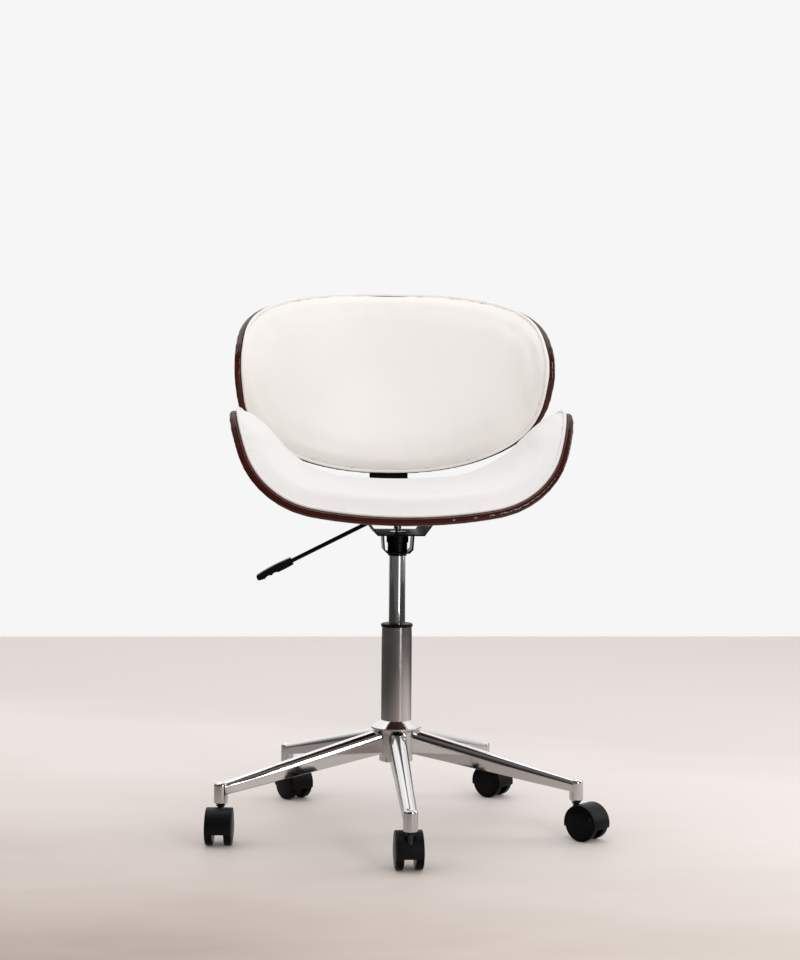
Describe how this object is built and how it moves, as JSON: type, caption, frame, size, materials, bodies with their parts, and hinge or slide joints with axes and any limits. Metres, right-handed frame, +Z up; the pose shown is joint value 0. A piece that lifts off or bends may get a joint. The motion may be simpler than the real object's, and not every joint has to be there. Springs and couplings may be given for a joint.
{
  "type": "desk chair",
  "caption": "Swivel desk chair with wrap-around padded seat and back in bent plywood shells, on a height-adjustable gas column and a five-star caster base.",
  "frame": {"origin": "on the floor, on the axis of the column", "axes": "+Z up along the column, the sitter faces -Y, +X to the sitter's left"},
  "size_m": [0.6464, 0.5837, 0.9014],
  "materials": {
    "chrome": "polished chrome plate",
    "black_plastic": "satin",
    "black_steel": "satin black",
    "bright_steel": "plain",
    "walnut": "dark lacquered veneer",
    "cream_leather": "smooth, soft sheen",
    "bumper_rubber": "matt"
  },
  "bodies": {
    "base": {"base_hub": "chrome", "base_arm_front": "chrome", "base_arm_right": "chrome", "base_arm_rear_right": "chrome", "base_arm_rear_left": "chrome", "base_arm_left": "chrome", "stand_tube": "chrome", "guide_bush": "black_plastic", "lower_race": "bright_steel", "ball_cage": "bright_steel", "caster_sleeves": "black_plastic", "caster_stems": "bright_steel"},
    "rod": {"piston_rod": "bright_steel", "upper_race": "bright_steel", "rod_clip": "bright_steel", "rubber_bumper": "bumper_rubber"},
    "seat": {"gas_cylinder": "chrome", "taper_bush": "black_steel", "plate_strap": "black_steel", "seat_plate": "black_steel", "seat_shell": "walnut", "seat_pad": "cream_leather", "back_bracket": "black_steel", "back_shell": "walnut", "back_pad": "cream_leather", "plate_screws": "black_steel", "plate_tee_nuts": "bright_steel", "bracket_screws": "black_steel", "bracket_tee_nuts": "bright_steel", "back_screws": "black_steel", "back_tee_nuts": "bright_steel"},
    "lever": {"lever_rod": "black_steel", "lever_grip": "black_plastic"},
    "valve": {"valve_pin": "bright_steel"},
    "caster_front": {"caster_hood_front": "black_plastic", "caster_axle_front": "bright_steel"},
    "wheel_front_left": {"caster_wheel_front_left": "black_plastic"},
    "wheel_front_right": {"caster_wheel_front_right": "black_plastic"},
    "caster_right": {"caster_hood_right": "black_plastic", "caster_axle_right": "bright_steel"},
    "wheel_right_left": {"caster_wheel_right_left": "black_plastic"},
    "wheel_right_right": {"caster_wheel_right_right": "black_plastic"},
    "caster_rear_right": {"caster_hood_rear_right": "black_plastic", "caster_axle_rear_right": "bright_steel"},
    "wheel_rear_right_left": {"caster_wheel_rear_right_left": "black_plastic"},
    "wheel_rear_right_right": {"caster_wheel_rear_right_right": "black_plastic"},
    "caster_rear_left": {"caster_hood_rear_left": "black_plastic", "caster_axle_rear_left": "bright_steel"},
    "wheel_rear_left_left": {"caster_wheel_rear_left_left": "black_plastic"},
    "wheel_rear_left_right": {"caster_wheel_rear_left_right": "black_plastic"},
    "caster_left": {"caster_hood_left": "black_plastic", "caster_axle_left": "bright_steel"},
    "wheel_left_left": {"caster_wheel_left_left": "black_plastic"},
    "wheel_left_right": {"caster_wheel_left_right": "black_plastic"}
  },
  "joints": [
    {"name": "seat_swivel", "type": "hinge", "parent": "base", "child": "rod", "pos_m": [0, 0, 0.123], "axis": [0, 0, 1], "continuous": true},
    {"name": "seat_height", "type": "slide", "parent": "rod", "child": "seat", "axis": [0, 0, 1], "range_m": [-0.1, 0]},
    {"name": "lever_lift", "type": "hinge", "parent": "seat", "child": "lever", "pos_m": [-0.048, 0, 0.5024], "axis": [0, 1, 0], "range_deg": [0, 4.5], "stiffness_Nm_per_rad": 2, "springref_deg": -2.86},
    {"name": "valve_press", "type": "slide", "parent": "seat", "child": "valve", "axis": [0, 0, -1], "range_m": [0, 0.0041]},
    {"name": "caster_swivel_front", "type": "hinge", "parent": "base", "child": "caster_front", "pos_m": [0, -0.3, 0.05], "axis": [0, 0, 1], "continuous": true},
    {"name": "wheel_spin_front_left", "type": "hinge", "parent": "caster_front", "child": "wheel_front_left", "pos_m": [-0.00073, -0.27901, 0.028], "axis": [-0.9994, -0.0349, 0], "continuous": true},
    {"name": "wheel_spin_front_right", "type": "hinge", "parent": "caster_front", "child": "wheel_front_right", "pos_m": [-0.00073, -0.27901, 0.028], "axis": [-0.9994, -0.0349, 0], "continuous": true},
    {"name": "caster_swivel_right", "type": "hinge", "parent": "base", "child": "caster_right", "pos_m": [0.28532, -0.09271, 0.05], "axis": [0, 0, 1], "continuous": true},
    {"name": "wheel_spin_right_left", "type": "hinge", "parent": "caster_right", "child": "wheel_right_left", "pos_m": [0.2999, -0.10781, 0.028], "axis": [0.7193, 0.6947, 0], "continuous": true},
    {"name": "wheel_spin_right_right", "type": "hinge", "parent": "caster_right", "child": "wheel_right_right", "pos_m": [0.2999, -0.10781, 0.028], "axis": [0.7193, 0.6947, 0], "continuous": true},
    {"name": "caster_swivel_rear_right", "type": "hinge", "parent": "base", "child": "caster_rear_right", "pos_m": [0.17634, 0.24271, 0.05], "axis": [0, 0, 1], "continuous": true},
    {"name": "wheel_spin_rear_right_left", "type": "hinge", "parent": "caster_rear_right", "child": "wheel_rear_right_left", "pos_m": [0.19169, 0.22838, 0.028], "axis": [0.682, 0.7314, 0], "continuous": true},
    {"name": "wheel_spin_rear_right_right", "type": "hinge", "parent": "caster_rear_right", "child": "wheel_rear_right_right", "pos_m": [0.19169, 0.22838, 0.028], "axis": [0.682, 0.7314, 0], "continuous": true},
    {"name": "caster_swivel_rear_left", "type": "hinge", "parent": "base", "child": "caster_rear_left", "pos_m": [-0.17634, 0.24271, 0.05], "axis": [0, 0, 1], "continuous": true},
    {"name": "wheel_spin_rear_left_left", "type": "hinge", "parent": "caster_rear_left", "child": "wheel_rear_left_left", "pos_m": [-0.16459, 0.2253, 0.028], "axis": [0.829, 0.5592, 0], "continuous": true},
    {"name": "wheel_spin_rear_left_right", "type": "hinge", "parent": "caster_rear_left", "child": "wheel_rear_left_right", "pos_m": [-0.16459, 0.2253, 0.028], "axis": [0.829, 0.5592, 0], "continuous": true},
    {"name": "caster_swivel_left", "type": "hinge", "parent": "base", "child": "caster_left", "pos_m": [-0.28532, -0.09271, 0.05], "axis": [0, 0, 1], "continuous": true},
    {"name": "wheel_spin_left_left", "type": "hinge", "parent": "caster_left", "child": "wheel_left_left", "pos_m": [-0.28715, -0.11363, 0.028], "axis": [0.9962, -0.0872, 0], "continuous": true},
    {"name": "wheel_spin_left_right", "type": "hinge", "parent": "caster_left", "child": "wheel_left_right", "pos_m": [-0.28715, -0.11363, 0.028], "axis": [0.9962, -0.0872, 0], "continuous": true}
  ],
  "couplings": [
    {"joint": "valve_press", "follows": "lever_lift", "m_per_rad": 0.0515}
  ]
}
